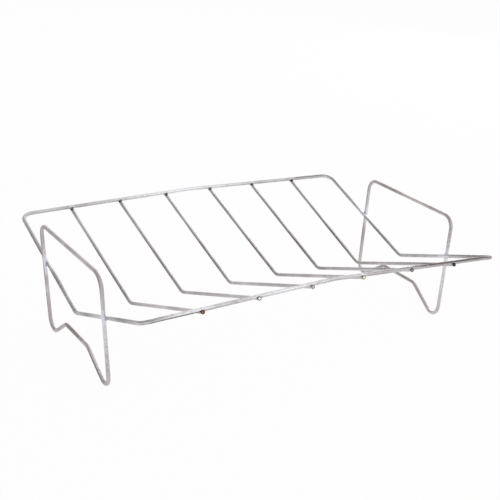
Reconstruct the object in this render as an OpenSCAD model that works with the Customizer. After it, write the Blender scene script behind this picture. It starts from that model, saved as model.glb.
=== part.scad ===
// Roasting rack: a fixed V-shaped trough of welded round wire, carried between two wire leg hoops.
// Millimetres, +Z up. The feet stand on Z = 0, and the fold of the trough runs along X above Y = 0.

/* [Trough] */
// Length of the trough, between the centre lines of its two end wires
trough_l = 360; // [280:5:440]
// Width of the back wall along its slope, from the fold to the back rail
back_wall_w = 150; // [130:0.5:180]
// Width of the front wall along its slope, from the fold to the front rail
front_wall_w = 151.5; // [130:0.5:180]
// Slope of the back wall above the horizontal, in degrees
back_slope = 18.5; // [12:0.5:24]
// Slope of the front wall above the horizontal, in degrees
front_slope = 18.5; // [12:0.5:24]
// Height of the trough's fold above the table, to the centre line of the end wires
fold_h = 43; // [38:0.5:60]
// Depth by which the middle of the back rail is bowed into the trough
back_bow = 6; // [3:0.5:8]
// Depth by which the middle of the front rail is bowed into the trough
front_bow = 7.5; // [3:0.5:10]

/* [Wire] */
// Diameter of the rim's wire
rim_d = 3.6; // [3:0.1:4.5]
// Diameter of the ribs' wire
rib_d = 3.2; // [2.5:0.1:4]
// Diameter of the leg hoops' wire
hoop_d = 3.6; // [3:0.1:4.5]
// Depth by which a spot weld presses one crossing wire into the other
weld_set = 0.4; // [0.2:0.05:0.6]

/* [Bends] */
// Radius of the rim's four corners, to the centre line
rim_corner_r = 10; // [8:0.5:20]
// Radius of the rim's fold at the bottom of the V, to the centre line
rim_fold_r = 12; // [8:0.5:20]
// Radius of the ribs' fold, to the centre line
rib_fold_r = 12.5; // [8:0.5:20]

/* [Ribs] */
// Height by which the fold of a rib at mid-length would stand above the folds at the trough's ends
rib_lift = 6; // [0:0.5:8]
// Length of a rib's tip past the centre line of the back rail
rib_back_tip = 1.5; // [1:0.25:4]
// Length of a rib's tip past the centre line of the front rail
rib_front_tip = 2.75; // [1:0.25:8]

/* [Ribs out of true] */
// Place of rib 1's fold along the trough, past its even place
rib_1_fold_shift = 1.5; // [-4:0.5:4]
// Place of rib 1's front end along the trough, past its even place
rib_1_front_shift = 0; // [-4:0.5:4]
// Place of rib 2's fold along the trough, past its even place
rib_2_fold_shift = 2.5; // [-4:0.5:4]
// Place of rib 2's front end along the trough, past its even place
rib_2_front_shift = 1; // [-4:0.5:4]
// Place of rib 3's fold along the trough, past its even place
rib_3_fold_shift = 2; // [-4:0.5:4]
// Place of rib 3's front end along the trough, past its even place
rib_3_front_shift = 2; // [-4:0.5:4]
// Place of rib 4's fold along the trough, past its even place
rib_4_fold_shift = 2.5; // [-4:0.5:4]
// Place of rib 4's front end along the trough, past its even place
rib_4_front_shift = 3; // [-4:0.5:4]
// Place of rib 5's fold along the trough, past its even place
rib_5_fold_shift = 0; // [-4:0.5:4]
// Place of rib 5's front end along the trough, past its even place
rib_5_front_shift = 4; // [-4:0.5:4]
// Place of rib 6's fold along the trough, past its even place
rib_6_fold_shift = -3; // [-4:0.5:4]
// Place of rib 6's front end along the trough, past its even place
rib_6_front_shift = 0.5; // [-4:0.5:4]

/* [Leg hoops] */
// Height of a hoop from the corners of its feet to its top bar, along the centre line
hoop_h = 113; // [100:0.5:130]
// Width of a hoop at its top bar, between the corners of its centre line
hoop_top_w = 142; // [120:1:170]
// Width of a hoop at its feet, between the corners of its centre line
hoop_foot_w = 141; // [120:1:170]
// Width of the raised bar between the two feet, between the corners of its centre line
arch_w = 53; // [40:1:70]
// Rise of the raised bar above the corners of the feet, along the centre line
arch_h = 28.5; // [22:0.5:36]
// Outward lean of a hoop from the upright, in degrees
hoop_lean = 3.6; // [0:0.1:6]
// Radius of a hoop's two top corners, to the centre line
hoop_top_r = 12; // [6:0.5:16]
// Radius of a hoop's two feet, to the centre line
foot_r = 10; // [6:0.5:12]
// Radius of the two shoulders of the raised bar, to the centre line
shoulder_r = 10; // [6:0.5:14]
// Place of the left hoop along Y, past the middle of the trough
left_hoop_shift = -2; // [-4:0.5:4]
// Place of the right hoop along Y, past the middle of the trough
right_hoop_shift = 0; // [-4:0.5:4]

/* [Hidden] */
rib_count = 6;
rib_pitch = trough_l / (rib_count + 1);
// Straight end of a bowed rail, before its corner bend begins
rail_straight = 3;
// Sides of a wire's round section, and the most that one step of a bend may turn or run
sides = 12;
step_angle = 12;
step_length = 32;

// Directions of each wall in the YZ plane: up its slope, and square to it out of the trough
back_up = [0, cos(back_slope), sin(back_slope)];
back_out = [0, sin(back_slope), -cos(back_slope)];
front_up = [0, -cos(front_slope), sin(front_slope)];
front_out = [0, -sin(front_slope), -cos(front_slope)];

// Distances between the centre lines of welded wires
rib_drop = (rim_d + rib_d) / 2 - weld_set;
hoop_gap = (rim_d + hoop_d) / 2 - weld_set;

// A path is a list of [corner, radius of the bend there], and its centre line a list of [point, tangent]
function unit(v) = v / norm(v);
function turn(a, b, c) = acos(unit(b - a) * unit(c - b));
function bend(a, b, c, r) =
    let (
        angle = turn(a, b, c),
        from = unit(b - a),
        to = unit(c - b),
        inward = unit(to - from * (from * to)),
        start = b - from * r * tan(angle / 2),
        steps = ceil(max(angle / step_angle, r * angle * PI / 180 / step_length)))
    [for (k = [0 : steps])
        let (at = angle * k / steps)
        [start + r * (from * sin(at) + inward * (1 - cos(at))), from * cos(at) + inward * sin(at)]];
function closed_line(path) =
    let (n = len(path))
    [for (i = [0 : n - 1])
        each bend(path[(i + n - 1) % n][0], path[i][0], path[(i + 1) % n][0], path[i][1])];
function open_line(path) =
    let (n = len(path))
    concat(
        [[path[0][0], unit(path[1][0] - path[0][0])]],
        [for (i = [1 : n - 2]) each bend(path[i - 1][0], path[i][0], path[i + 1][0], path[i][1])],
        [[path[n - 1][0], unit(path[n - 1][0] - path[n - 2][0])]]);

// A many-sided section of the same area as the round wire, at each point of a centre line
function section_r(d) = d / 2 * sqrt(2 * PI / (sides * sin(360 / sides)));
function rings(line, d, up) = [
    for (station = line)
        let (across = unit(cross(station[1], up)), over = cross(across, station[1]))
        for (k = [0 : sides - 1])
            station[0] + section_r(d) * (across * cos(360 * k / sides) + over * sin(360 * k / sides))];
function lowest(points) = min([for (p = points) p[2]]);

// One bent wire of diameter d along a centre line that is nowhere parallel to up
module wire(line, d, up, closed) {
    count = len(line);
    skin = [
        for (i = [0 : closed ? count - 1 : count - 2], k = [0 : sides - 1])
            let (a = i * sides, b = (i + 1) % count * sides, next = (k + 1) % sides)
            each [[a + k, a + next, b + next], [a + k, b + next, b + k]]];
    caps = closed ? [] : [
        [for (k = [sides - 1 : -1 : 0]) k],
        [for (k = [0 : sides - 1]) (count - 1) * sides + k]];
    polyhedron(points = rings(line, d, up), faces = concat(skin, caps), convexity = 8);
}

// A bowed rail: the end of it at a corner of the rim, the corner that its bow rounds, and the bow's radius
rail_inset = rim_corner_r + rail_straight;
function bow_corner(bow) = 2 * bow * trough_l / (trough_l + 2 * rail_inset);
function bow_angle(bow) = atan(bow_corner(bow) / (trough_l / 2));
function bow_r(bow) = (trough_l / 2 / cos(bow_angle(bow)) - rail_inset) / tan(bow_angle(bow));
function rail_end(side, up, w) = [side * trough_l / 2, 0, fold_h] + up * w;
function rail_mid(up, out, w, bow) = [0, 0, fold_h] + up * w - out * bow_corner(bow);
// How far a rail stands into the trough from its wall's flat, at the place x
function bow_at(bow, x) = bow_corner(bow) - bow_r(bow) / cos(bow_angle(bow)) + sqrt(pow(bow_r(bow), 2) - x * x);

// The rim: one closed wire, a rounded rectangle folded along its middle
module rim_wire() {
    line = closed_line([
        [rail_end(-1, back_up, back_wall_w), rim_corner_r],
        [rail_mid(back_up, back_out, back_wall_w, back_bow), bow_r(back_bow)],
        [rail_end(1, back_up, back_wall_w), rim_corner_r],
        [[trough_l / 2, 0, fold_h], rim_fold_r],
        [rail_end(1, front_up, front_wall_w), rim_corner_r],
        [rail_mid(front_up, front_out, front_wall_w, front_bow), bow_r(front_bow)],
        [rail_end(-1, front_up, front_wall_w), rim_corner_r],
        [[-trough_l / 2, 0, fold_h], rim_fold_r]]);
    wire(line, rim_d, [0, 0, 1], true);
}

// A rib: one open wire folded like the rim, under both rails, with the shallow seats of its two welds
module rib(number, fold_shift, front_shift) {
    back_x = rib_pitch * number - trough_l / 2;
    fold_x = back_x + fold_shift;
    front_x = back_x + front_shift;
    spread = sin(back_slope + front_slope);
    lift = rib_lift * (1 - pow(2 * fold_x / trough_l, 2));
    fold = [
        fold_x,
        rib_drop * (cos(front_slope) - cos(back_slope)) / spread,
        fold_h + lift - rib_drop * (sin(back_slope) + sin(front_slope)) / spread];
    back_off = rib_drop - bow_at(back_bow, back_x);
    front_off = rib_drop - bow_at(front_bow, front_x);
    back = [back_x, 0, fold_h] + back_up * back_wall_w + back_out * back_off;
    front = [front_x, 0, fold_h] + front_up * front_wall_w + front_out * front_off;
    line = open_line([
        [back + unit(back - fold) * rib_back_tip, 0],
        [fold, rib_fold_r],
        [front + unit(front - fold) * rib_front_tip, 0]]);
    difference() {
        wire(line, rib_d, [0, 0, 1], false);
        rim_wire();
    }
}

// Centre line of a right-hand leg hoop, moved along Y by shift, with its foot corners at height z
lean_up = [sin(hoop_lean), 0, cos(hoop_lean)];
function hoop_line(shift, z) =
    let (
        top = [for (side = [1, -1]) [0, side * hoop_top_w / 2 + shift, z] + lean_up * hoop_h],
        foot = [for (side = [1, -1]) [0, side * hoop_foot_w / 2 + shift, z]],
        shoulder = [for (side = [1, -1]) [0, side * arch_w / 2 + shift, z] + lean_up * arch_h])
    closed_line([
        [top[0], hoop_top_r], [foot[0], foot_r], [shoulder[0], shoulder_r],
        [shoulder[1], shoulder_r], [foot[1], foot_r], [top[1], hoop_top_r]]);
hoop_normal = [cos(hoop_lean), 0, -sin(hoop_lean)];
foot_z = -lowest(rings(hoop_line(0, 0), hoop_d, hoop_normal));

// Height at which a leg crosses a sloping end wire, with its hoop moved by shift towards that wall
leg_run = (hoop_top_w - hoop_foot_w) / 2 / (hoop_h * cos(hoop_lean));
function cross_z(slope, shift) =
    (fold_h + tan(slope) * (hoop_foot_w / 2 + shift - leg_run * foot_z)) / (1 - leg_run * tan(slope));

// A right-hand leg hoop: one closed wire outside the rim, with the shallow seats of its two welds
module leg_hoop(shift) {
    back_z = cross_z(back_slope, shift);
    front_z = cross_z(front_slope, -shift);
    cross_w = hoop_foot_w + leg_run * (back_z + front_z - 2 * foot_z);
    // Place and turn that lay the leaning hoop against both end wires, though one leg may cross higher
    hoop_x = trough_l / 2 + hoop_gap - tan(hoop_lean) * ((back_z + front_z) / 2 - foot_z);
    hoop_toe = atan(tan(hoop_lean) * (back_z - front_z) / cross_w);
    difference() {
        translate([hoop_x, 0, 0])
            rotate([0, 0, hoop_toe])
                wire(hoop_line(shift, foot_z), hoop_d, hoop_normal, true);
        rim_wire();
    }
}

module rim_frame() { color([0.80, 0.80, 0.82]) rim_wire(); }
module rib_1() { color([0.74, 0.74, 0.76]) rib(1, rib_1_fold_shift, rib_1_front_shift); }
module rib_2() { color([0.74, 0.74, 0.76]) rib(2, rib_2_fold_shift, rib_2_front_shift); }
module rib_3() { color([0.74, 0.74, 0.76]) rib(3, rib_3_fold_shift, rib_3_front_shift); }
module rib_4() { color([0.74, 0.74, 0.76]) rib(4, rib_4_fold_shift, rib_4_front_shift); }
module rib_5() { color([0.74, 0.74, 0.76]) rib(5, rib_5_fold_shift, rib_5_front_shift); }
module rib_6() { color([0.74, 0.74, 0.76]) rib(6, rib_6_fold_shift, rib_6_front_shift); }
module leg_hoop_left() { color([0.70, 0.71, 0.74]) mirror([1, 0, 0]) leg_hoop(left_hoop_shift); }
module leg_hoop_right() { color([0.70, 0.71, 0.74]) leg_hoop(right_hoop_shift); }

rim_frame();
rib_1();
rib_2();
rib_3();
rib_4();
rib_5();
rib_6();
leg_hoop_left();
leg_hoop_right();
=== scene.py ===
# A V-shaped roasting rack of welded round wire, on a plain pale floor.
# Lengths are in metres, angles in degrees. The lines of the wires follow the same bends as the solid model.
import math

import bmesh
import bpy
from mathutils import Matrix, Vector


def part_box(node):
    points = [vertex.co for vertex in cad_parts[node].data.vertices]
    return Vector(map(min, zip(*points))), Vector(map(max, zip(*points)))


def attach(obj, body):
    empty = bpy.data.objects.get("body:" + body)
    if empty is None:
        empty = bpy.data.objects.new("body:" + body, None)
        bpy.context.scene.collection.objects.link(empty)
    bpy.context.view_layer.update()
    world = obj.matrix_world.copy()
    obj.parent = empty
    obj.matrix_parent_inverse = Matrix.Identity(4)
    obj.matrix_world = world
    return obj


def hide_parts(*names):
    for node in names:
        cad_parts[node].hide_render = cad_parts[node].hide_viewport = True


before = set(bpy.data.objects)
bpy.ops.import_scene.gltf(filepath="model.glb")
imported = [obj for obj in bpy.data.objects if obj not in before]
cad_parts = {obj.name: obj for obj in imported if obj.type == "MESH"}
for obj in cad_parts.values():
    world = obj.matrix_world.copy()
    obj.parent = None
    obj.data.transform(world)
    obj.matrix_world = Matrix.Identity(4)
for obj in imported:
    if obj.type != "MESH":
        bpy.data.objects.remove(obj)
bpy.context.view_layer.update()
print("frame loaded:", ", ".join(sorted(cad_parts)))


# small helpers

def hexColour(code):
    # sRGB hex to the linear colour that shaders take
    parts = [int(code[i:i + 2], 16) / 255 for i in (1, 3, 5)]
    return [p / 12.92 if p <= 0.04045 else ((p + 0.055) / 1.055) ** 2.4 for p in parts] + [1.0]


def addNode(tree, kind, settings={}, inputs={}):
    # settings are the node's own options, inputs are values or the sockets that feed it
    node = tree.nodes.new(kind)
    for key, value in settings.items():
        setattr(node, key, value)
    for key, value in inputs.items():
        if isinstance(value, bpy.types.NodeSocket):
            tree.links.new(value, node.inputs[key])
        else:
            node.inputs[key].default_value = value
    return node


def newGeometryTree(name, sizes):
    # sizes is a list of (input name, socket type, default value)
    tree = bpy.data.node_groups.new(name, "GeometryNodeTree")
    tree.interface.new_socket("Geometry", in_out="INPUT", socket_type="NodeSocketGeometry")
    for label, socketType, value in sizes:
        socket = tree.interface.new_socket(label, in_out="INPUT", socket_type=socketType)
        if value is not None:
            socket.default_value = value
    tree.interface.new_socket("Geometry", in_out="OUTPUT", socket_type="NodeSocketGeometry")
    return tree, tree.nodes.new("NodeGroupInput"), tree.nodes.new("NodeGroupOutput")


def runTree(source, tree, values, name):
    # runs a tree on a source object and keeps the result as a plain mesh object at the origin
    modifier = source.modifiers.new(tree.name, "NODES")
    modifier.node_group = tree
    identifiers = {item.name: item.identifier for item in tree.interface.items_tree if item.in_out == "INPUT"}
    for label, value in values.items():
        modifier[identifiers[label]] = value
    depsgraph = bpy.context.evaluated_depsgraph_get()
    mesh = bpy.data.meshes.new_from_object(source.evaluated_get(depsgraph), depsgraph=depsgraph)
    mesh.name = name
    source.modifiers.remove(modifier)
    bpy.data.objects.remove(source)
    piece = bpy.data.objects.new(name, mesh)
    bpy.context.scene.collection.objects.link(piece)
    return piece


def lineObject(points, closed, name):
    # a chain of edges that a tree turns into a curve
    edges = [(i, i + 1) for i in range(len(points) - 1)] + ([(len(points) - 1, 0)] if closed else [])
    mesh = bpy.data.meshes.new(name)
    mesh.from_pydata([tuple(p) for p in points], edges, [])
    line = bpy.data.objects.new(name, mesh)
    bpy.context.scene.collection.objects.link(line)
    return line


def pointObject(places, turns, name):
    # loose points that carry a turn each, for what is set on them
    mesh = bpy.data.meshes.new(name)
    mesh.from_pydata([tuple(p) for p in places], [], [])
    turn = mesh.attributes.new("turn", "FLOAT_VECTOR", "POINT")
    for i, value in enumerate(turns):
        turn.data[i].vector = value
    points = bpy.data.objects.new(name, mesh)
    bpy.context.scene.collection.objects.link(points)
    return points


# the lines of the wires

trough = {
    "length": 0.360,  # between the middles of the two end wires
    "backWall": 0.150, "frontWall": 0.1515,  # fold line to rail, along the wall
    "backSlope": 18.5, "frontSlope": 18.5,
    "foldHeight": 0.043,
    "backBow": 0.006, "frontBow": 0.0075,  # how far each rail bows out in its middle
    "weldSet": 0.0004,  # how far welded wires sink into each other
    "arcStep": 6.0,  # degrees between two points of a bend
}
rimWire = {"diameter": 0.0036, "cornerRadius": 0.010, "foldRadius": 0.012, "railStraight": 0.003}
ribWires = {
    "count": 6, "diameter": 0.0032, "foldRadius": 0.0125, "lift": 0.006, "backTip": 0.0015, "frontTip": 0.00275,
    "foldShifts": [0.0015, 0.0025, 0.002, 0.0025, 0.0, -0.003],  # the ribs stand a little out of true
    "frontShifts": [0.0, 0.001, 0.002, 0.003, 0.004, 0.0005],
}
legHoops = {
    "diameter": 0.0036, "height": 0.113, "topWidth": 0.142, "footWidth": 0.141,
    "archWidth": 0.053, "archHeight": 0.0285, "lean": 3.6,
    "topRadius": 0.012, "footRadius": 0.010, "shoulderRadius": 0.010,
    "leftShift": -0.002, "rightShift": 0.0,  # how far each hoop is welded off the middle
}

backSlope, frontSlope = math.radians(trough["backSlope"]), math.radians(trough["frontSlope"])
backUp, backOut = Vector((0, math.cos(backSlope), math.sin(backSlope))), Vector((0, math.sin(backSlope), -math.cos(backSlope)))
frontUp, frontOut = Vector((0, -math.cos(frontSlope), math.sin(frontSlope))), Vector((0, -math.sin(frontSlope), -math.cos(frontSlope)))
halfLength = trough["length"] / 2
ribDrop = (rimWire["diameter"] + ribWires["diameter"]) / 2 - trough["weldSet"]
hoopGap = (rimWire["diameter"] + legHoops["diameter"]) / 2 - trough["weldSet"]


def bend(before, corner, after, radius):
    arrive, leave = (corner - before).normalized(), (after - corner).normalized()
    angle = arrive.angle(leave)
    inward = (leave - arrive * arrive.dot(leave)).normalized()
    start = corner - arrive * radius * math.tan(angle / 2)
    count = max(2, math.ceil(math.degrees(angle) / trough["arcStep"]))
    steps = [angle * i / count for i in range(count + 1)]
    return [start + (arrive * math.sin(a) + inward * (1 - math.cos(a))) * radius for a in steps]


def closedLine(corners):
    # corners is a list of (point, bend radius)
    count = len(corners)
    line = []
    for i, (point, radius) in enumerate(corners):
        line += bend(corners[i - 1][0], point, corners[(i + 1) % count][0], radius)
    return line


def bowTerms(bow):
    # the rail is one long shallow bend between its two corners
    inset = rimWire["cornerRadius"] + rimWire["railStraight"]
    reach = 2 * bow * trough["length"] / (trough["length"] + 2 * inset)
    angle = math.atan(reach / halfLength)
    return reach, angle, (halfLength / math.cos(angle) - inset) / math.tan(angle)


def bowAt(bow, x):
    reach, angle, radius = bowTerms(bow)
    return reach - radius / math.cos(angle) + math.sqrt(radius * radius - x * x)


def rimLine():
    fold = Vector((0, 0, trough["foldHeight"]))
    side = Vector((halfLength, 0, 0))
    backReach, _, backRadius = bowTerms(trough["backBow"])
    frontReach, _, frontRadius = bowTerms(trough["frontBow"])
    backTop, frontTop = backUp * trough["backWall"], frontUp * trough["frontWall"]
    corner, crease = rimWire["cornerRadius"], rimWire["foldRadius"]
    return closedLine([
        (fold - side + backTop, corner), (fold + backTop - backOut * backReach, backRadius), (fold + side + backTop, corner),
        (fold + side, crease),
        (fold + side + frontTop, corner), (fold + frontTop - frontOut * frontReach, frontRadius), (fold - side + frontTop, corner),
        (fold - side, crease),
    ])


def ribEnds(number):
    # where a rib's line passes under the back and front rail
    backX = trough["length"] / (ribWires["count"] + 1) * number - halfLength
    frontX = backX + ribWires["frontShifts"][number - 1]
    back = Vector((backX, 0, trough["foldHeight"])) + backUp * trough["backWall"] + backOut * (ribDrop - bowAt(trough["backBow"], backX))
    front = Vector((frontX, 0, trough["foldHeight"])) + frontUp * trough["frontWall"] + frontOut * (ribDrop - bowAt(trough["frontBow"], frontX))
    return back, front


def ribLine(number):
    back, front = ribEnds(number)
    foldX = back.x + ribWires["foldShifts"][number - 1]
    lift = ribWires["lift"] * (1 - (foldX / halfLength) ** 2)
    spread = math.sin(backSlope + frontSlope)
    fold = Vector((
        foldX,
        ribDrop * (math.cos(frontSlope) - math.cos(backSlope)) / spread,
        trough["foldHeight"] + lift - ribDrop * (math.sin(backSlope) + math.sin(frontSlope)) / spread,
    ))
    backTip = back + (back - fold).normalized() * ribWires["backTip"]
    frontTip = front + (front - fold).normalized() * ribWires["frontTip"]
    return [backTip] + bend(back, fold, front, ribWires["foldRadius"]) + [frontTip]


def hoopShape(shift):
    # a right-hand hoop on its leaning plane, moved along Y by shift, with its foot corners at height 0
    lean = math.radians(legHoops["lean"])
    up = Vector((math.sin(lean), 0, math.cos(lean)))
    top, foot, arch = legHoops["topWidth"] / 2, legHoops["footWidth"] / 2, legHoops["archWidth"] / 2
    return closedLine([
        (Vector((0, top + shift, 0)) + up * legHoops["height"], legHoops["topRadius"]),
        (Vector((0, foot + shift, 0)), legHoops["footRadius"]),
        (Vector((0, arch + shift, 0)) + up * legHoops["archHeight"], legHoops["shoulderRadius"]),
        (Vector((0, -arch + shift, 0)) + up * legHoops["archHeight"], legHoops["shoulderRadius"]),
        (Vector((0, -foot + shift, 0)), legHoops["footRadius"]),
        (Vector((0, -top + shift, 0)) + up * legHoops["height"], legHoops["topRadius"]),
    ])


footLift = legHoops["diameter"] / 2 - min(point.z for point in hoopShape(0))


def legCross(slope, shift):
    # depth and height at which a leg crosses an end wire, with the hoop moved by shift towards that wall
    run = (legHoops["topWidth"] - legHoops["footWidth"]) / 2 / (legHoops["height"] * math.cos(math.radians(legHoops["lean"])))
    foot = legHoops["footWidth"] / 2 + shift
    height = (trough["foldHeight"] + math.tan(slope) * (foot - run * footLift)) / (1 - run * math.tan(slope))
    return (height - trough["foldHeight"]) / math.tan(slope), height


def hoopLine(side):
    # side is -1 for the left hoop and 1 for the right one; the toe lets both legs touch the end wire
    shift = legHoops["leftShift"] if side < 0 else legHoops["rightShift"]
    leanRun = math.tan(math.radians(legHoops["lean"]))
    backDepth, backHeight = legCross(backSlope, shift)
    frontDepth, frontHeight = legCross(frontSlope, -shift)
    reach = halfLength + hoopGap - leanRun * ((backHeight + frontHeight) / 2 - footLift)
    toe = Matrix.Rotation(math.atan(leanRun * (backHeight - frontHeight) / (backDepth + frontDepth)), 3, "Z")
    line = []
    for point in hoopShape(shift):
        turned = toe @ point
        line.append(Vector((side * (turned.x + reach), turned.y, turned.z + footLift)))
    return line


print("wire lines ready")


# finishes

def nickelWire(name, look):
    # Bright nickel-chrome plate over drawn low-carbon steel wire: a clean metal mirror that is a little blurred by
    # the drawing lines under the plate, dulled in patches by handling, and stained by the welding next to its welds.
    # Its colour also carries painted highlights on the rails and legs, painted shade on some wires' left sides and
    # undersides, and darker upper sides on parts of the rails.
    material = bpy.data.materials.new(name)
    material.use_nodes = True
    tree = material.node_tree
    shader = tree.nodes["Principled BSDF"]
    shader.inputs["Metallic"].default_value = 1.0

    # place along the wire in metres and turn round it, both carried by the mesh
    along = addNode(tree, "ShaderNodeAttribute", {"attribute_name": "alongWire"}).outputs["Fac"]
    around = addNode(tree, "ShaderNodeAttribute", {"attribute_name": "aroundWire"}).outputs["Fac"]
    heatAndHighlight = addNode(tree, "ShaderNodeAttribute", {"attribute_name": "weldHeatAndPaintedHighlight"}).outputs["Fac"]
    darkSpot = addNode(tree, "ShaderNodeAttribute", {"attribute_name": "darkBelowBackRail"}).outputs["Fac"]
    cut = addNode(tree, "ShaderNodeAttribute", {"attribute_name": "cutRing"}).outputs["Fac"]
    face = addNode(tree, "ShaderNodeAttribute", {"attribute_name": "cutFace"}).outputs["Fac"]
    stainAndShade = addNode(tree, "ShaderNodeAttribute", {"attribute_name": "ovenStainAndPaintedShade"}).outputs["Fac"]
    place = addNode(tree, "ShaderNodeTexCoord").outputs["Object"]

    # drawing lines: 0.12 mm apart on real wire, drawn at about 0.35 mm so that they show
    turn = addNode(tree, "ShaderNodeMath", {"operation": "MULTIPLY"}, {0: around, 1: 2 * math.pi}).outputs[0]
    cosine = addNode(tree, "ShaderNodeMath", {"operation": "COSINE"}, {0: turn}).outputs[0]
    sine = addNode(tree, "ShaderNodeMath", {"operation": "SINE"}, {0: turn}).outputs[0]
    slow = addNode(tree, "ShaderNodeMath", {"operation": "MULTIPLY"}, {0: along, 1: 25.0}).outputs[0]
    wound = addNode(tree, "ShaderNodeCombineXYZ", {}, {"X": cosine, "Y": sine, "Z": slow}).outputs[0]
    lines = addNode(tree, "ShaderNodeTexNoise", {}, {"Vector": wound, "Scale": 5.0, "Detail": 3.0, "Roughness": 0.6}).outputs["Fac"]

    # handling marks and thin plate: patches of 15 to 40 mm
    patches = addNode(tree, "ShaderNodeTexNoise", {}, {"Vector": place, "Scale": 32.0, "Detail": 3.0, "Roughness": 0.5}).outputs["Fac"]
    clouds = addNode(tree, "ShaderNodeTexNoise", {}, {"Vector": place, "Scale": 420.0, "Detail": 3.0, "Roughness": 0.55}).outputs["Fac"]

    tone = addNode(tree, "ShaderNodeValToRGB", {}, {"Fac": patches})
    tone.color_ramp.elements[0].position, tone.color_ramp.elements[1].position = 0.34, 0.66
    tone.color_ramp.elements[0].color = hexColour(look["dull"])
    tone.color_ramp.elements[1].color = hexColour(look["bright"])

    streak = addNode(tree, "ShaderNodeMapRange", {}, {"Value": lines, "From Min": 0.35, "From Max": 0.65, "To Min": 0.95, "To Max": 1.03}).outputs[0]
    lined = addNode(tree, "ShaderNodeVectorMath", {"operation": "SCALE"}, {0: tone.outputs["Color"], "Scale": streak}).outputs[0]

    # weld colours: a pale blue-violet tint round each hoop weld, whose mask and colour also carry painted highlights on
    # the rails and legs, and a near-black spot on each rib just below the back rail
    raggedEdge = addNode(tree, "ShaderNodeMapRange", {}, {"Value": clouds, "From Min": 0.3, "From Max": 0.7, "To Min": -0.22, "To Max": 0.22}).outputs[0]
    heatAndHighlightSum = addNode(tree, "ShaderNodeMath", {"operation": "ADD"}, {0: heatAndHighlight, 1: raggedEdge}).outputs[0]
    heatAndHighlightMask = addNode(tree, "ShaderNodeMapRange", {}, {"Value": heatAndHighlightSum, "From Min": 0.35, "From Max": 0.75}).outputs[0]
    heatAndHighlightMask = addNode(tree, "ShaderNodeMath", {"operation": "MULTIPLY", "use_clamp": True}, {0: heatAndHighlightMask, 1: look["bloomAndHighlightAmount"]}).outputs[0]
    bloomedAndHighlighted = addNode(tree, "ShaderNodeMix", {"data_type": "RGBA"}, {0: heatAndHighlightMask, 6: lined, 7: hexColour(look["bloomAndHighlight"])}).outputs[2]
    # a near-black spot on each rib just below the back rail, duller and bumpier than the plate
    darkSpotSum = addNode(tree, "ShaderNodeMath", {"operation": "ADD"}, {0: darkSpot, 1: raggedEdge}).outputs[0]
    darkSpotMask = addNode(tree, "ShaderNodeMapRange", {}, {"Value": darkSpotSum, "From Min": 0.45, "From Max": 0.70}).outputs[0]
    # baked-on oven stains and painted shade share one brown-grey film with uneven edges: the shade is painted on some
    # wires' left sides and undersides, and parts of the rails are darker on their upper sides
    stainAndShadeSum = addNode(tree, "ShaderNodeMath", {"operation": "ADD"}, {0: stainAndShade, 1: raggedEdge}).outputs[0]
    stainAndShadeMask = addNode(tree, "ShaderNodeMapRange", {}, {"Value": stainAndShadeSum, "From Min": 0.1, "From Max": 0.95, "To Max": 0.95}).outputs[0]
    stainedAndShaded = addNode(tree, "ShaderNodeMix", {"data_type": "RGBA"}, {0: stainAndShadeMask, 6: bloomedAndHighlighted, 7: hexColour(look["stainAndShade"])}).outputs[2]
    darkSpotted = addNode(tree, "ShaderNodeMix", {"data_type": "RGBA"}, {0: darkSpotMask, 6: stainedAndShaded, 7: hexColour(look["darkSpotColour"])}).outputs[2]
    ended = addNode(tree, "ShaderNodeMix", {"data_type": "RGBA"}, {0: cut, 6: darkSpotted, 7: hexColour(look["cutEdge"])}).outputs[2]
    faceMask = addNode(tree, "ShaderNodeMapRange", {}, {"Value": face, "From Min": 0.55, "From Max": 1.0}).outputs[0]
    ended = addNode(tree, "ShaderNodeMix", {"data_type": "RGBA"}, {0: faceMask, 6: ended, 7: hexColour(look["cutFace"])}).outputs[2]
    tree.links.new(ended, shader.inputs["Base Color"])

    rough = addNode(tree, "ShaderNodeMapRange", {}, {
        "Value": patches, "From Min": 0.35, "From Max": 0.65, "To Min": look["roughest"], "To Max": look["smoothest"],
    }).outputs[0]
    darkSpotRough = addNode(tree, "ShaderNodeMix", {"data_type": "FLOAT"}, {0: darkSpotMask, 2: rough, 3: 0.6}).outputs[0]
    tree.links.new(darkSpotRough, shader.inputs["Roughness"])

    bumpLines = addNode(tree, "ShaderNodeBump", {}, {"Strength": 0.12, "Distance": 0.00003, "Height": lines}).outputs[0]
    bumpDarkSpot = addNode(tree, "ShaderNodeMath", {"operation": "MULTIPLY"}, {0: darkSpotMask, 1: clouds}).outputs[0]
    bumpScale = addNode(tree, "ShaderNodeBump", {}, {"Strength": 0.5, "Distance": 0.00015, "Height": bumpDarkSpot, "Normal": bumpLines}).outputs[0]
    tree.links.new(bumpScale, shader.inputs["Normal"])
    return material


finishes = {
    # the pale weld-tint colour is also the colour of the painted highlights, and the stain colour is also that of the
    # painted shade
    "rim": {"bright": "#CCCACB", "dull": "#B2AEB0", "bloomAndHighlight": "#E4E3E7", "bloomAndHighlightAmount": 0.85, "darkSpotColour": "#3A3638",
            "stainAndShade": "#5E5654", "cutEdge": "#8A7468", "cutFace": "#A8A4A2", "smoothest": 0.22, "roughest": 0.34},
    "rib": {"bright": "#C8C4C5", "dull": "#AEA9AA", "bloomAndHighlight": "#CFCFDA", "bloomAndHighlightAmount": 0.2, "darkSpotColour": "#1C1818",
            "stainAndShade": "#6A6260", "cutEdge": "#7A5648", "cutFace": "#A8A4A2", "smoothest": 0.24, "roughest": 0.36},
    "hoop": {"bright": "#CCC6C7", "dull": "#B0A9AA", "bloomAndHighlight": "#E3E3EA", "bloomAndHighlightAmount": 0.85, "darkSpotColour": "#5A5A6C",
             "stainAndShade": "#655B55", "cutEdge": "#8A7468", "cutFace": "#A8A4A2", "smoothest": 0.22, "roughest": 0.34},
}
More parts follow.
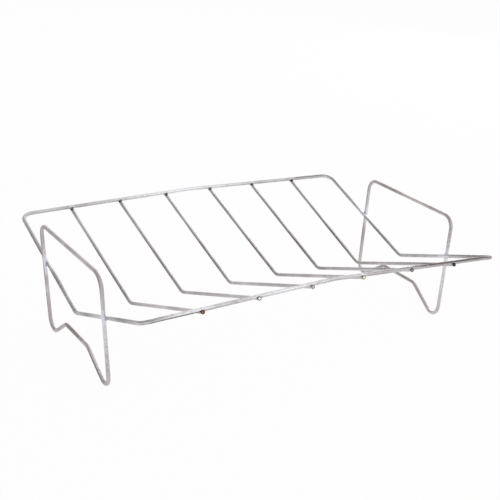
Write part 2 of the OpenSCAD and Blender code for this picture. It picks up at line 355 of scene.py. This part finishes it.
# each rib's sheared front end has aged in its own way: rusty, a dark edge round a near-white painted highlight, grey,
# straw-coloured, dark, black
ribEndLooks = [
    {"cutEdge": "#45241A", "cutFace": "#8C6456"}, {"cutEdge": "#3C383A", "cutFace": "#F4F4F4"},
    {"cutEdge": "#7A7876", "cutFace": "#B4B2B0"}, {"cutEdge": "#6E6858", "cutFace": "#E2DCC8"},
    {"cutEdge": "#4A4646", "cutFace": "#8E8A8A"}, {"cutEdge": "#1E1A1C", "cutFace": "#4A4646"},
]
rimFinish = nickelWire("nickelPlatedWireRim", finishes["rim"])
ribFinishes = [nickelWire(f"nickelPlatedWireRib{i + 1}", {**finishes["rib"], **look}) for i, look in enumerate(ribEndLooks)]
hoopFinish = nickelWire("nickelPlatedWireHoop", finishes["hoop"])


def weldMetal(name, look):
    # Resistance weld squeezed out between two wires: the same steel, plated over but uneven, darker and duller,
    # with blue and straw temper colours where it was hottest.
    material = bpy.data.materials.new(name)
    material.use_nodes = True
    tree = material.node_tree
    shader = tree.nodes["Principled BSDF"]
    shader.inputs["Metallic"].default_value = 1.0
    place = addNode(tree, "ShaderNodeTexCoord").outputs["Object"]
    lumps = addNode(tree, "ShaderNodeTexNoise", {}, {"Vector": place, "Scale": 900.0, "Detail": 4.0, "Roughness": 0.6}).outputs["Fac"]
    drift = addNode(tree, "ShaderNodeTexNoise", {}, {"Vector": place, "Scale": 260.0, "Detail": 2.0}).outputs["Fac"]
    tone = addNode(tree, "ShaderNodeValToRGB", {}, {"Fac": drift})
    tone.color_ramp.elements[0].position, tone.color_ramp.elements[1].position = 0.36, 0.62
    tone.color_ramp.elements[0].color = hexColour(look["dark"])
    tone.color_ramp.elements[1].color = hexColour(look["light"])
    middle = tone.color_ramp.elements.new(0.5)
    middle.color = hexColour(look["temper"])
    tree.links.new(tone.outputs["Color"], shader.inputs["Base Color"])
    rough = addNode(tree, "ShaderNodeMapRange", {}, {"Value": lumps, "From Min": 0.3, "From Max": 0.7, "To Min": 0.30, "To Max": 0.55}).outputs[0]
    tree.links.new(rough, shader.inputs["Roughness"])
    bump = addNode(tree, "ShaderNodeBump", {}, {"Strength": 0.6, "Distance": 0.0002, "Height": lumps}).outputs[0]
    tree.links.new(bump, shader.inputs["Normal"])
    return material


ribWeldFinish = weldMetal("spotWeldSteelRib", {"dark": "#3A3638", "temper": "#6E6468", "light": "#A8A6AA"})
hoopWeldFinish = weldMetal("spotWeldSteelHoop", {"dark": "#94969E", "temper": "#B6B8C8", "light": "#E2E2EA"})
print("finishes ready")


# the wires

sweep = {"sides": 28, "ringSpacing": 0.0011, "unevenness": 0.00002}


def sweptWireTree():
    tree, given, result = newGeometryTree("sweptWire", [
        ("Wire diameter", "NodeSocketFloat", 0.0036),
        ("Ring spacing", "NodeSocketFloat", 0.0012),
        ("Sides", "NodeSocketInt", 24),
        ("Unevenness", "NodeSocketFloat", 0.00002),
        ("Finish", "NodeSocketMaterial", None),
    ])
    curve = addNode(tree, "GeometryNodeMeshToCurve", {}, {"Mesh": given.outputs["Geometry"]})
    even = addNode(tree, "GeometryNodeResampleCurve", {"mode": "LENGTH"}, {"Curve": curve.outputs[0], "Length": given.outputs["Ring spacing"]})
    alongValue = addNode(tree, "GeometryNodeSplineParameter")
    alongStored = addNode(tree, "GeometryNodeStoreNamedAttribute", {"data_type": "FLOAT", "domain": "POINT"}, {
        "Geometry": even.outputs[0], "Name": "alongWire", "Value": alongValue.outputs["Length"]})
    radius = addNode(tree, "ShaderNodeMath", {"operation": "MULTIPLY"}, {0: given.outputs["Wire diameter"], 1: 0.5})
    circle = addNode(tree, "GeometryNodeCurvePrimitiveCircle", {"mode": "RADIUS"}, {
        "Resolution": given.outputs["Sides"], "Radius": radius.outputs[0]})
    aroundValue = addNode(tree, "GeometryNodeSplineParameter")
    aroundStored = addNode(tree, "GeometryNodeStoreNamedAttribute", {"data_type": "FLOAT", "domain": "POINT"}, {
        "Geometry": circle.outputs[0], "Name": "aroundWire", "Value": aroundValue.outputs["Factor"]})
    swept = addNode(tree, "GeometryNodeCurveToMesh", {}, {
        "Curve": alongStored.outputs[0], "Profile Curve": aroundStored.outputs[0], "Fill Caps": True})
    # the draw die and the bending leave the wire very slightly out of round
    ripple = addNode(tree, "ShaderNodeTexNoise", {}, {"Scale": 90.0, "Detail": 1.0})
    centred = addNode(tree, "ShaderNodeMath", {"operation": "SUBTRACT"}, {0: ripple.outputs["Fac"], 1: 0.5})
    amount = addNode(tree, "ShaderNodeMath", {"operation": "MULTIPLY"}, {0: centred.outputs[0], 1: given.outputs["Unevenness"]})
    normal = addNode(tree, "GeometryNodeInputNormal")
    offset = addNode(tree, "ShaderNodeVectorMath", {"operation": "SCALE"}, {0: normal.outputs[0], "Scale": amount.outputs[0]})
    uneven = addNode(tree, "GeometryNodeSetPosition", {}, {"Geometry": swept.outputs[0], "Offset": offset.outputs[0]})
    smooth = addNode(tree, "GeometryNodeSetShadeSmooth", {}, {"Geometry": uneven.outputs[0], "Shade Smooth": True})
    real = addNode(tree, "GeometryNodeRealizeInstances", {}, {"Geometry": smooth.outputs[0]})
    finish = addNode(tree, "GeometryNodeSetMaterial", {}, {"Geometry": real.outputs[0], "Material": given.outputs["Finish"]})
    tree.links.new(finish.outputs[0], result.inputs[0])
    return tree


wireTree = sweptWireTree()


def makeWire(name, line, closed, diameter, finish):
    return runTree(lineObject(line, closed, name + "Line"), wireTree, {
        "Wire diameter": diameter, "Ring spacing": sweep["ringSpacing"], "Sides": sweep["sides"],
        "Unevenness": sweep["unevenness"], "Finish": finish,
    }, name)


cutEnds = {"edge": 0.00025, "dish": 0.00016, "ring": 0.00065, "spread": 0.00025}


def trimCutEnds(piece):
    # a sheared wire end: it is spread and rolled over a little at its edge, and its face is slightly hollow
    work = bmesh.new()
    work.from_mesh(piece.data)
    ring = work.verts.layers.float.new("cutRing")
    inside = work.verts.layers.float.new("cutFace")
    caps = [face for face in work.faces if len(face.verts) > 8]
    rims = {edge for face in caps for edge in face.edges}
    for face in caps:
        middle = face.calc_center_median()
        for vert in face.verts:
            vert[ring] = 1.0
            vert.co += (vert.co - middle).normalized() * cutEnds["spread"]
    bmesh.ops.bevel(work, geom=list(rims), offset=cutEnds["edge"], segments=3, profile=0.5, affect="EDGES", clamp_overlap=True)
    caps = [face for face in work.faces if len(face.verts) > 8]
    for vert in {v for face in caps for v in face.verts}:
        vert[ring] = 1.0
    bmesh.ops.inset_region(work, faces=caps, thickness=cutEnds["ring"], depth=0.0, use_even_offset=True)
    caps = [face for face in work.faces if len(face.verts) > 8]
    for face in caps:
        for vert in face.verts:
            vert[inside] = 1.0
    for face in caps:
        middle = bmesh.ops.poke(work, faces=[face])["verts"][0]
        middle.co -= middle.normal * cutEnds["dish"]
        middle[inside] = 1.0
    bmesh.ops.recalc_face_normals(work, faces=work.faces)
    work.to_mesh(piece.data)
    work.free()
    for polygon in piece.data.polygons:
        polygon.use_smooth = True


rim = makeWire("rimWire", rimLine(), True, rimWire["diameter"], rimFinish)
ribs = []
for number in range(1, ribWires["count"] + 1):
    rib = makeWire(f"ribWire{number}", ribLine(number), False, ribWires["diameter"], ribFinishes[number - 1])
    trimCutEnds(rib)
    ribs.append(rib)
hoops = [
    makeWire("leftHoopWire", hoopLine(-1), True, legHoops["diameter"], hoopFinish),
    makeWire("rightHoopWire", hoopLine(1), True, legHoops["diameter"], hoopFinish),
]
print("wires swept")


# the welds

ribWelds = {"alongRail": 0.0021, "alongRib": 0.0021, "thick": 0.00085, "lumps": 0.00028}
hoopWelds = {"alongRail": 0.0026, "alongRib": 0.0026, "thick": 0.0011, "lumps": 0.0004}


def weldBeadTree():
    tree, given, result = newGeometryTree("weldBeads", [
        ("Length", "NodeSocketFloat", 0.002), ("Width", "NodeSocketFloat", 0.002), ("Thickness", "NodeSocketFloat", 0.001),
        ("Lumps", "NodeSocketFloat", 0.0003), ("Seed", "NodeSocketFloat", 3.0), ("Finish", "NodeSocketMaterial", None),
    ])
    ball = addNode(tree, "GeometryNodeMeshIcoSphere", {}, {"Radius": 1.0, "Subdivisions": 4})
    turn = addNode(tree, "GeometryNodeInputNamedAttribute", {"data_type": "FLOAT_VECTOR"}, {"Name": "turn"})
    rotation = addNode(tree, "FunctionNodeEulerToRotation", {}, {"Euler": turn.outputs[0]})
    size = addNode(tree, "ShaderNodeCombineXYZ", {}, {
        "X": given.outputs["Length"], "Y": given.outputs["Width"], "Z": given.outputs["Thickness"]})
    varied = addNode(tree, "FunctionNodeRandomValue", {"data_type": "FLOAT_VECTOR"}, {0: (0.86, 0.86, 0.9), 1: (1.1, 1.1, 1.08), "Seed": 4})
    sized = addNode(tree, "ShaderNodeVectorMath", {"operation": "MULTIPLY"}, {0: size.outputs[0], 1: varied.outputs[0]})
    points = addNode(tree, "GeometryNodeMeshToPoints", {}, {"Mesh": given.outputs["Geometry"]})
    placed = addNode(tree, "GeometryNodeInstanceOnPoints", {}, {
        "Points": points.outputs[0], "Instance": ball.outputs["Mesh"], "Rotation": rotation.outputs[0], "Scale": sized.outputs[0]})
    real = addNode(tree, "GeometryNodeRealizeInstances", {}, {"Geometry": placed.outputs[0]})
    noiseNode = addNode(tree, "ShaderNodeTexNoise", {"noise_dimensions": "4D"}, {"W": given.outputs["Seed"], "Scale": 420.0, "Detail": 2.0})
    centred = addNode(tree, "ShaderNodeMath", {"operation": "SUBTRACT"}, {0: noiseNode.outputs["Fac"], 1: 0.5})
    amount = addNode(tree, "ShaderNodeMath", {"operation": "MULTIPLY"}, {0: centred.outputs[0], 1: given.outputs["Lumps"]})
    normal = addNode(tree, "GeometryNodeInputNormal")
    offset = addNode(tree, "ShaderNodeVectorMath", {"operation": "SCALE"}, {0: normal.outputs[0], "Scale": amount.outputs[0]})
    uneven = addNode(tree, "GeometryNodeSetPosition", {}, {"Geometry": real.outputs[0], "Offset": offset.outputs[0]})
    smooth = addNode(tree, "GeometryNodeSetShadeSmooth", {}, {"Geometry": uneven.outputs[0], "Shade Smooth": True})
    again = addNode(tree, "GeometryNodeRealizeInstances", {}, {"Geometry": smooth.outputs[0]})
    finish = addNode(tree, "GeometryNodeSetMaterial", {}, {"Geometry": again.outputs[0], "Material": given.outputs["Finish"]})
    tree.links.new(finish.outputs[0], result.inputs[0])
    return tree


def facing(first, second):
    # the turn that lays a bead's length on one wire, its width on the other and its thickness between them
    across = first.cross(second).normalized()
    width = across.cross(first).normalized()
    return Matrix((first.normalized(), width, across)).transposed().to_euler()


beadTree = weldBeadTree()
ribWeldPlaces, ribWeldTurns, ribWeldSides = [], [], []
for number in range(1, ribWires["count"] + 1):
    back, front = ribEnds(number)
    for point, out, up in ((back, backOut, backUp), (front, frontOut, frontUp)):
        ribWeldPlaces.append(point - out * (ribWires["diameter"] / 2 - trough["weldSet"] / 2))
        ribWeldTurns.append(facing(Vector((1, 0, 0)), up))
hoopWeldPlaces, hoopWeldTurns = [], []
for side, shift in ((-1, legHoops["leftShift"]), (1, legHoops["rightShift"])):
    for depth, height, up in (
            (*legCross(backSlope, shift), backUp), (*legCross(frontSlope, -shift), frontUp)):
        hoopWeldPlaces.append(Vector((side * (halfLength + hoopGap / 2), depth if up is backUp else -depth, height)))
        hoopWeldTurns.append(facing(up, Vector((0, 0, 1))))
ribBeads = runTree(pointObject(ribWeldPlaces, ribWeldTurns, "ribWeldPoints"), beadTree, {
    "Length": ribWelds["alongRail"], "Width": ribWelds["alongRib"], "Thickness": ribWelds["thick"],
    "Lumps": ribWelds["lumps"], "Seed": 3.0, "Finish": ribWeldFinish}, "ribWeldBeads")
hoopBeads = runTree(pointObject(hoopWeldPlaces, hoopWeldTurns, "hoopWeldPoints"), beadTree, {
    "Length": hoopWelds["alongRail"], "Width": hoopWelds["alongRib"], "Thickness": hoopWelds["thick"],
    "Lumps": hoopWelds["lumps"], "Seed": 8.0, "Finish": hoopWeldFinish}, "hoopWeldBeads")

markReach = {"hoopBloom": 0.0135, "ribBloom": 0.0045, "ribDarkSpot": 0.0024, "darkSpotStep": 0.0024}

# where fat and smoke have baked on, where shade is painted on a wire's left side or underside, and where a rail is
# darker on its top: place, reach, amount, and which side of the wire it lies on
ovenStainsAndPaintedShade = [
    ((0.160, 0.140, 0.098), 0.035, 0.75, "top"), ((0.140, -0.143, 0.098), 0.078, 1.15, "top"),
    ((-0.172, -0.137, 0.095), 0.030, 0.55, "top"), ((0.180, -0.128, 0.090), 0.030, 0.6, "all"),
    ((-0.180, 0.030, 0.055), 0.030, 0.30, "all"), ((-0.182, 0.004, 0.030), 0.026, 0.7, "all"),
    ((0.183, -0.010, 0.030), 0.020, 0.35, "all"),
    ((-0.180, -0.028, 0.052), 0.030, 0.60, "all"), ((-0.180, -0.100, 0.076), 0.026, 0.50, "all"),
    ((-0.185, -0.071, 0.098), 0.008, 0.9, "left"), ((-0.180, -0.048, 0.013), 0.022, 1.1, "left"),
    ((-0.148, -0.147, 0.091), 0.030, 1.1, "under"), ((-0.180, 0.070, 0.066), 0.070, 0.80, "left"), ((0.180, 0.040, 0.056), 0.055, 0.75, "left"),
]
for number in range(1, ribWires["count"] + 1):
    ribX = ribEnds(number)[0].x
    # each rib: a stain on its back run near the fold, and painted shade on the left side of its back run
    ovenStainsAndPaintedShade += [
        ((ribX, 0.022, 0.052), 0.030, 0.35, "all"), ((ribX, 0.045, 0.058), 0.060, 1.0, "left"),
        ((ribX, 0.118, 0.082), 0.050, 0.5, "left"),
    ]

# painted highlights: lighter patches on the rails and legs that stand in for reflections: place, reach, amount
paintedHighlights = [
    ((-0.020, 0.147, 0.098), 0.115, 0.7), ((-0.050, -0.149, 0.098), 0.095, 0.6),
    ((-0.142, -0.148, 0.092), 0.030, 0.9), ((-0.180, -0.048, 0.013), 0.024, 0.55),
    ((-0.184, -0.071, 0.055), 0.055, 0.6), ((0.184, -0.071, 0.055), 0.055, 0.6),
]


def ovenStainAndPaintedShadeAt(vertex):
    # which side takes it: "left" paints shade on the wire's -X side, "under" paints shade on its underside, "top"
    # darkens its upper side
    share = {
        "all": 1.0,
        "top": min(1.0, max(0.0, (vertex.normal.z - 0.08) / 0.6)),
        "left": min(1.0, max(0.0, (-vertex.normal.x - 0.60) / 0.35)),
        "under": min(1.0, max(0.0, (0.15 - vertex.normal.z) / 0.4)),
    }
    return max(amount * share[side] * math.exp(-((vertex.co - Vector(place)).length / reach) ** 2)
               for place, reach, amount, side in ovenStainsAndPaintedShade)


def storeStainsShadeAndHighlights(piece):
    # how close each point of a wire is to the welds, with its stains, painted shade and painted highlights, kept on the
    # mesh for the finish to read
    mesh = piece.data
    for label in ("weldHeatAndPaintedHighlight", "darkBelowBackRail", "ovenStainAndPaintedShade", "cutRing", "cutFace"):
        if label not in mesh.attributes:
            mesh.attributes.new(label, "FLOAT", "POINT")
    heatAndHighlight, darkSpot, ovenStainAndShade = (mesh.attributes[label] for label in ("weldHeatAndPaintedHighlight", "darkBelowBackRail", "ovenStainAndPaintedShade"))
    # the near-black spots sit on the ribs a short step down the wall from the back rail welds
    darkSpotPlaces = [place - (backUp if place.y > 0 else frontUp) * markReach["darkSpotStep"] for place in ribWeldPlaces]
    for i, vertex in enumerate(mesh.vertices):
        toHoop = min((vertex.co - place).length for place in hoopWeldPlaces)
        toRib = min((vertex.co - place).length for place in ribWeldPlaces)
        toDarkSpot = min((vertex.co - place).length for place in darkSpotPlaces if place.y > 0)
        # stains, with painted shade on the wire's left side and underside
        ovenStainAndShade.data[i].value = ovenStainAndPaintedShadeAt(vertex)
        # painted highlight on the rails and legs, which stands in for reflections and is kept in the same mask as the
        # pale weld tint
        paintedHighlight = max(amount * math.exp(-((vertex.co - Vector(place)).length / reach) ** 2) for place, reach, amount in paintedHighlights)
        heatAndHighlight.data[i].value = max(
            math.exp(-(toHoop / markReach["hoopBloom"]) ** 2), 0.8 * math.exp(-(toRib / markReach["ribBloom"]) ** 2), paintedHighlight)
        darkSpot.data[i].value = math.exp(-(toDarkSpot / markReach["ribDarkSpot"]) ** 2)


for piece in [rim] + ribs + hoops:
    storeStainsShadeAndHighlights(piece)
print("welds set and wires stained")

for piece, node, slot in [(rim, "rim_frame", "rim_wire")] + [
        (rib, f"rib_{i + 1}", "rib_wire") for i, rib in enumerate(ribs)] + [
        (hoops[0], "leg_hoop_left", "hoop_wire"), (hoops[1], "leg_hoop_right", "hoop_wire")]:
    cadLow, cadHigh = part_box(node)
    low = [min(v.co[k] for v in piece.data.vertices) for k in range(3)]
    high = [max(v.co[k] for v in piece.data.vertices) for k in range(3)]
    print(node, "differs by mm", [round((a - b) * 1000, 2) for a, b in zip(low + high, list(cadLow) + list(cadHigh))])
    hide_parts(node)
    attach(piece, "root")
for piece, slot in ((ribBeads, "rib_wire"), (hoopBeads, "hoop_wire")):
    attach(piece, "root")


# floor, light and camera

studio = {
    "floorSize": 16.0, "floorColour": "#F4F4F4", "floorWhite": 0.96,
    "skyLight": 0.7, "greySide": (-0.72, 0.49, 0.49), "greyLevel": 0.68,
    "railLight": 0.6, "rightLight": 5.0, "topLight": 0.5,
}


def paleFloor():
    # matt white paper: seen by the camera and in the metal it is close to white, and it keeps a faint shadow
    material = bpy.data.materials.new("mattWhitePaper")
    material.use_nodes = True
    tree = material.node_tree
    shader = tree.nodes["Principled BSDF"]
    shader.inputs["Base Color"].default_value = hexColour(studio["floorColour"])
    shader.inputs["Roughness"].default_value = 0.9
    shader.inputs["Specular IOR Level"].default_value = 0.1
    output = tree.nodes["Material Output"]
    rays = addNode(tree, "ShaderNodeLightPath")
    seen = addNode(tree, "ShaderNodeMath", {"operation": "MAXIMUM"}, {0: rays.outputs["Is Camera Ray"], 1: rays.outputs["Is Glossy Ray"]}).outputs[0]
    seen = addNode(tree, "ShaderNodeMath", {"operation": "MAXIMUM"}, {0: seen, 1: rays.outputs["Is Transmission Ray"]}).outputs[0]
    share = addNode(tree, "ShaderNodeMath", {"operation": "MULTIPLY"}, {0: seen, 1: studio["floorWhite"]}).outputs[0]
    white = addNode(tree, "ShaderNodeEmission", {}, {"Color": (1, 1, 1, 1), "Strength": 1.0})
    mixed = addNode(tree, "ShaderNodeMixShader", {}, {0: share, 1: shader.outputs[0], 2: white.outputs[0]})
    tree.links.new(mixed.outputs[0], output.inputs["Surface"])
    return material


floorMesh = bpy.data.meshes.new("floor")
half = studio["floorSize"] / 2
floorMesh.from_pydata([(-half, -half, 0), (half, -half, 0), (half, half, 0), (-half, half, 0)], [], [(0, 1, 2, 3)])
floor = bpy.data.objects.new("floor", floorMesh)
bpy.context.scene.collection.objects.link(floor)
floorMesh.materials.append(paleFloor())

world = bpy.data.worlds.new("paleStudio")
bpy.context.scene.world = world
world.use_nodes = True
skyTree = world.node_tree
sky = skyTree.nodes["Background"]
rays = addNode(skyTree, "ShaderNodeLightPath")
seen = addNode(skyTree, "ShaderNodeMath", {"operation": "MAXIMUM"}, {0: rays.outputs["Is Camera Ray"], 1: rays.outputs["Is Glossy Ray"]}).outputs[0]
seen = addNode(skyTree, "ShaderNodeMath", {"operation": "MAXIMUM"}, {0: seen, 1: rays.outputs["Is Transmission Ray"]}).outputs[0]
# the studio is white round the table and greyer on its left, so the wires have something to reflect
direction = addNode(skyTree, "ShaderNodeTexCoord").outputs["Generated"]
towardsGrey = addNode(skyTree, "ShaderNodeVectorMath", {"operation": "DOT_PRODUCT"}, {0: direction, 1: studio["greySide"]}).outputs["Value"]
greyShare = addNode(skyTree, "ShaderNodeMapRange", {"interpolation_type": "SMOOTHSTEP"}, {
    "Value": towardsGrey, "From Min": 0.35, "From Max": 0.98, "To Min": 0.0, "To Max": 1.0 - studio["greyLevel"]}).outputs[0]
height = addNode(skyTree, "ShaderNodeSeparateXYZ", {}, {0: direction}).outputs["Z"]
aboveTable = addNode(skyTree, "ShaderNodeMapRange", {"interpolation_type": "SMOOTHSTEP"}, {
    "Value": height, "From Min": -0.02, "From Max": 0.1}).outputs[0]
greyShare = addNode(skyTree, "ShaderNodeMath", {"operation": "MULTIPLY"}, {0: greyShare, 1: aboveTable}).outputs[0]
shownSky = addNode(skyTree, "ShaderNodeMath", {"operation": "SUBTRACT"}, {0: 1.0, 1: greyShare}).outputs[0]
strength = addNode(skyTree, "ShaderNodeMix", {"data_type": "FLOAT"}, {0: seen, 2: studio["skyLight"], 3: shownSky}).outputs[0]
sky.inputs["Color"].default_value = (1, 1, 1, 1)
skyTree.links.new(strength, sky.inputs["Strength"])


def softbox(name, place, target, size, power, colour):
    lamp = bpy.data.lights.new(name, "AREA")
    lamp.shape, lamp.size, lamp.size_y = "RECTANGLE", size[0], size[1]
    lamp.energy, lamp.color = power, colour
    item = bpy.data.objects.new(name, lamp)
    item.location = place
    item.rotation_euler = (Vector(target) - Vector(place)).to_track_quat("-Z", "Y").to_euler()
    bpy.context.scene.collection.objects.link(item)
    return item


softbox("railSoftbox", (0.50, -0.85, 0.62), (0, 0, 0.08), (0.5, 0.7), studio["railLight"], (1.0, 1.0, 1.0))
softbox("rightSoftbox", (1.4, 0.9, 0.6), (0, 0, 0.05), (1.0, 1.0), studio["rightLight"], (1.0, 1.0, 1.0))
softbox("topSoftbox", (0.5, 0.5, 1.6), (0, 0, 0.05), (0.9, 0.5), studio["topLight"], (1.0, 0.99, 0.98))

shot = {
    "location": (-0.50956, -0.87541, 0.45447), "turn": (68.104, -3.135, -31.946),
    "lens": 80.547, "shiftX": -0.1121, "shiftY": 0.0589,
}
cameraData = bpy.data.cameras.new("camera")
cameraData.lens, cameraData.sensor_width = shot["lens"], 36.0
cameraData.shift_x, cameraData.shift_y = shot["shiftX"], shot["shiftY"]
camera = bpy.data.objects.new("camera", cameraData)
camera.location = shot["location"]
camera.rotation_euler = [math.radians(angle) for angle in shot["turn"]]
bpy.context.scene.collection.objects.link(camera)
bpy.context.scene.camera = camera
bpy.context.scene.view_settings.view_transform = "Standard"
print("floor, light and camera set")
